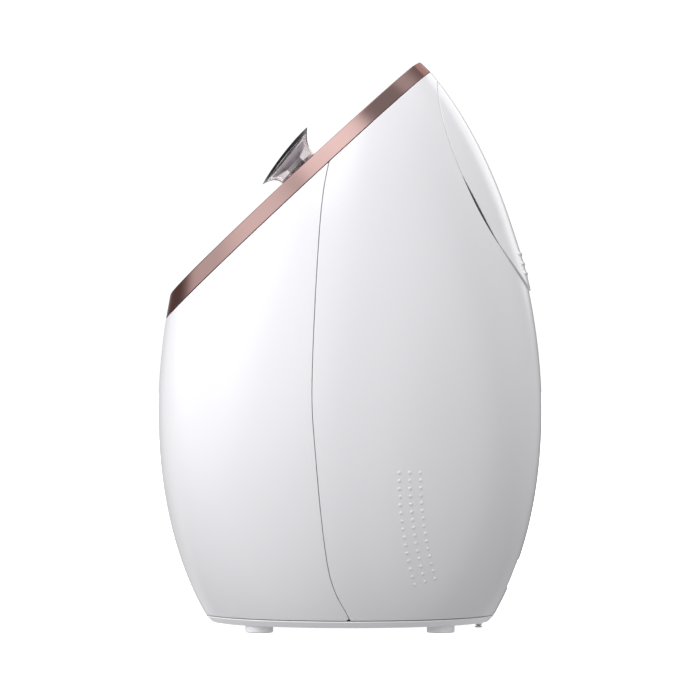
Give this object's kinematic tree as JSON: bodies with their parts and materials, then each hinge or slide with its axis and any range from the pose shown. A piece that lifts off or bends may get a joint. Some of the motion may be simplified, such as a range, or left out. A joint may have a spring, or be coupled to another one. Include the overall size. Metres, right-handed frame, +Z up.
{
  "type": "facial steamer",
  "caption": "Egg-shaped facial steamer with a sloped panel, turning steam nozzle, rear pull-out water tank, boiler in the base and drain plug.",
  "frame": {"origin": "on the standing surface, under the middle of the box round the whole part", "axes": "+Z up, -X the front where the sloped panel faces, +X the back where the tank pulls out"},
  "size_m": [0.1888, 0.1624, 0.2786],
  "materials": {
    "white_shell": "high-gloss white ABS",
    "base_plastic": "semi-matt off-white ABS",
    "rose_gold": "rose-gold electroplate, bright",
    "panel": "gloss white panel",
    "smoke": "clear smoke-grey polycarbonate",
    "dark_smoke": "dark smoke plastic",
    "clear_tank": "clear plastic",
    "inner_plastic": "natural white moulding",
    "bay_liner": "dark grey moulding",
    "rubber_foot": "grey rubber",
    "silicone": "translucent silicone",
    "steel": "bright zinc or nickel plate",
    "boiler_metal": "cast aluminium",
    "black_plastic": "black moulding",
    "circuit_board": "green laminate",
    "led": "LED package"
  },
  "bodies": {
    "housing": {"front_shell": "white_shell", "rear_shell": "white_shell", "nozzle_collar": "white_shell", "base_plate": "base_plastic", "drain_spout": "base_plastic", "trim_ring": "rose_gold", "face_panel": "panel", "indicator_lens": "clear_tank", "boiler_lid": "inner_plastic", "thermal_fuse": "inner_plastic", "tank_bay": "bay_liner", "foot_front_left": "rubber_foot", "foot_front_right": "rubber_foot", "foot_rear_left": "rubber_foot", "foot_rear_right": "rubber_foot", "steam_tube": "silicone", "feed_hose": "silicone", "drain_hose": "silicone", "boiler_gasket": "silicone", "dock_seal": "silicone", "base_screw_front_left": "steel", "base_screw_front_right": "steel", "base_screw_rear_left": "steel", "base_screw_rear_right": "steel", "lid_screw_1": "steel", "lid_screw_2": "steel", "lid_screw_3": "steel", "inlet_pin_left": "steel", "inlet_pin_right": "steel", "boiler_cup": "boiler_metal", "heater_plate": "boiler_metal", "power_inlet": "black_plastic", "power_switch": "black_plastic", "mode_switch": "black_plastic", "thermostat": "black_plastic", "power_board": "circuit_board", "control_board": "circuit_board", "indicator_led": "led"},
    "nozzle": {"nozzle_base": "dark_smoke", "nozzle_horn": "smoke", "nozzle_bowl": "smoke", "nozzle_o_ring": "silicone"},
    "power_button": {"power_button": "white_shell"},
    "mode_button": {"mode_button": "white_shell"},
    "tank": {"tank_cover": "white_shell", "tank_body": "clear_tank", "tank_front": "clear_tank"},
    "tank_cap": {"tank_cap": "inner_plastic", "cap_seal": "silicone", "valve_cage": "inner_plastic", "valve_spring": "steel"},
    "valve_plunger": {"valve_plunger": "dark_smoke"},
    "drain_plug": {"drain_plug": "silicone"}
  },
  "joints": [
    {"name": "nozzle_turn", "type": "hinge", "parent": "housing", "child": "nozzle", "pos_m": [-0.02397, 0, 0.22478], "axis": [-0.682, 0, 0.7314], "continuous": true},
    {"name": "power_press", "type": "slide", "parent": "housing", "child": "power_button", "axis": [0.682, 0, -0.7314], "range_m": [0, 0.0012], "stiffness_N_per_m": 900, "springref_m": -0.0003},
    {"name": "mode_press", "type": "slide", "parent": "housing", "child": "mode_button", "axis": [0.682, 0, -0.7314], "range_m": [0, 0.0012], "stiffness_N_per_m": 900, "springref_m": -0.0003},
    {"name": "tank_pull", "type": "slide", "parent": "housing", "child": "tank", "axis": [1, 0, 0], "range_m": [0, 0.12]},
    {"name": "tank_cap_turn", "type": "hinge", "parent": "tank", "child": "tank_cap", "pos_m": [0, 0.016, 0.193], "axis": [-1, 0, 0], "range_deg": [0, 90]},
    {"name": "valve_close", "type": "slide", "parent": "tank_cap", "child": "valve_plunger", "axis": [-1, 0, 0], "range_m": [0, 0.003], "deforming": ["valve_spring"]},
    {"name": "drain_plug_pull", "type": "slide", "parent": "housing", "child": "drain_plug", "axis": [0, 0, -1], "range_m": [0, 0.015]}
  ],
  "couplings": [
    {"joint": "valve_close", "follows": "tank_pull", "ratio": 0.025}
  ]
}
